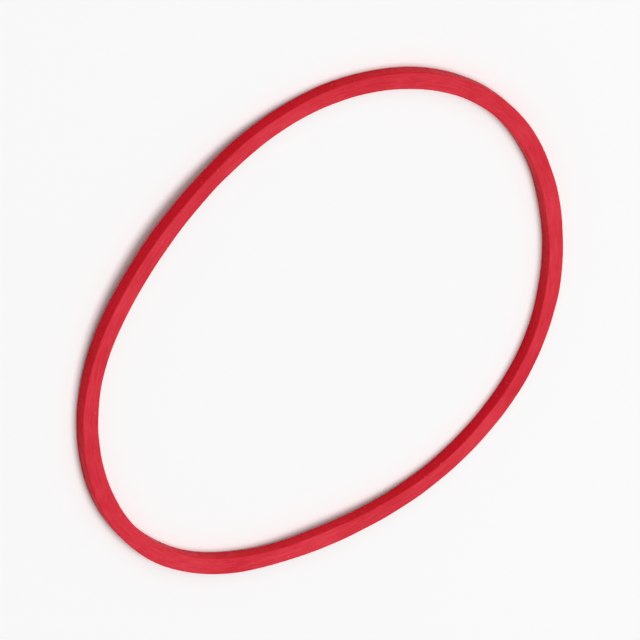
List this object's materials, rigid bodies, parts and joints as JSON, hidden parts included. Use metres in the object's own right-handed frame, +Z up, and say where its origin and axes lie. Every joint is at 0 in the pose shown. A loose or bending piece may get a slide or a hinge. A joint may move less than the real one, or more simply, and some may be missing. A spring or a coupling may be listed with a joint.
{
  "type": "rubber band",
  "caption": "Thin red elastic rubber band: a slightly uneven closed loop of cut rubber, lying relaxed, for holding a bundle together.",
  "frame": {"origin": "centre of the loop's outline, on the table the band lies on", "axes": "+Z up, through the loop; +X and +Y across the loop"},
  "size_m": [0.0404, 0.0412, 0.0013],
  "materials": {
    "rubber": "satin"
  },
  "bodies": {
    "root": {"rubber_band": "rubber"}
  },
  "joints": []
}
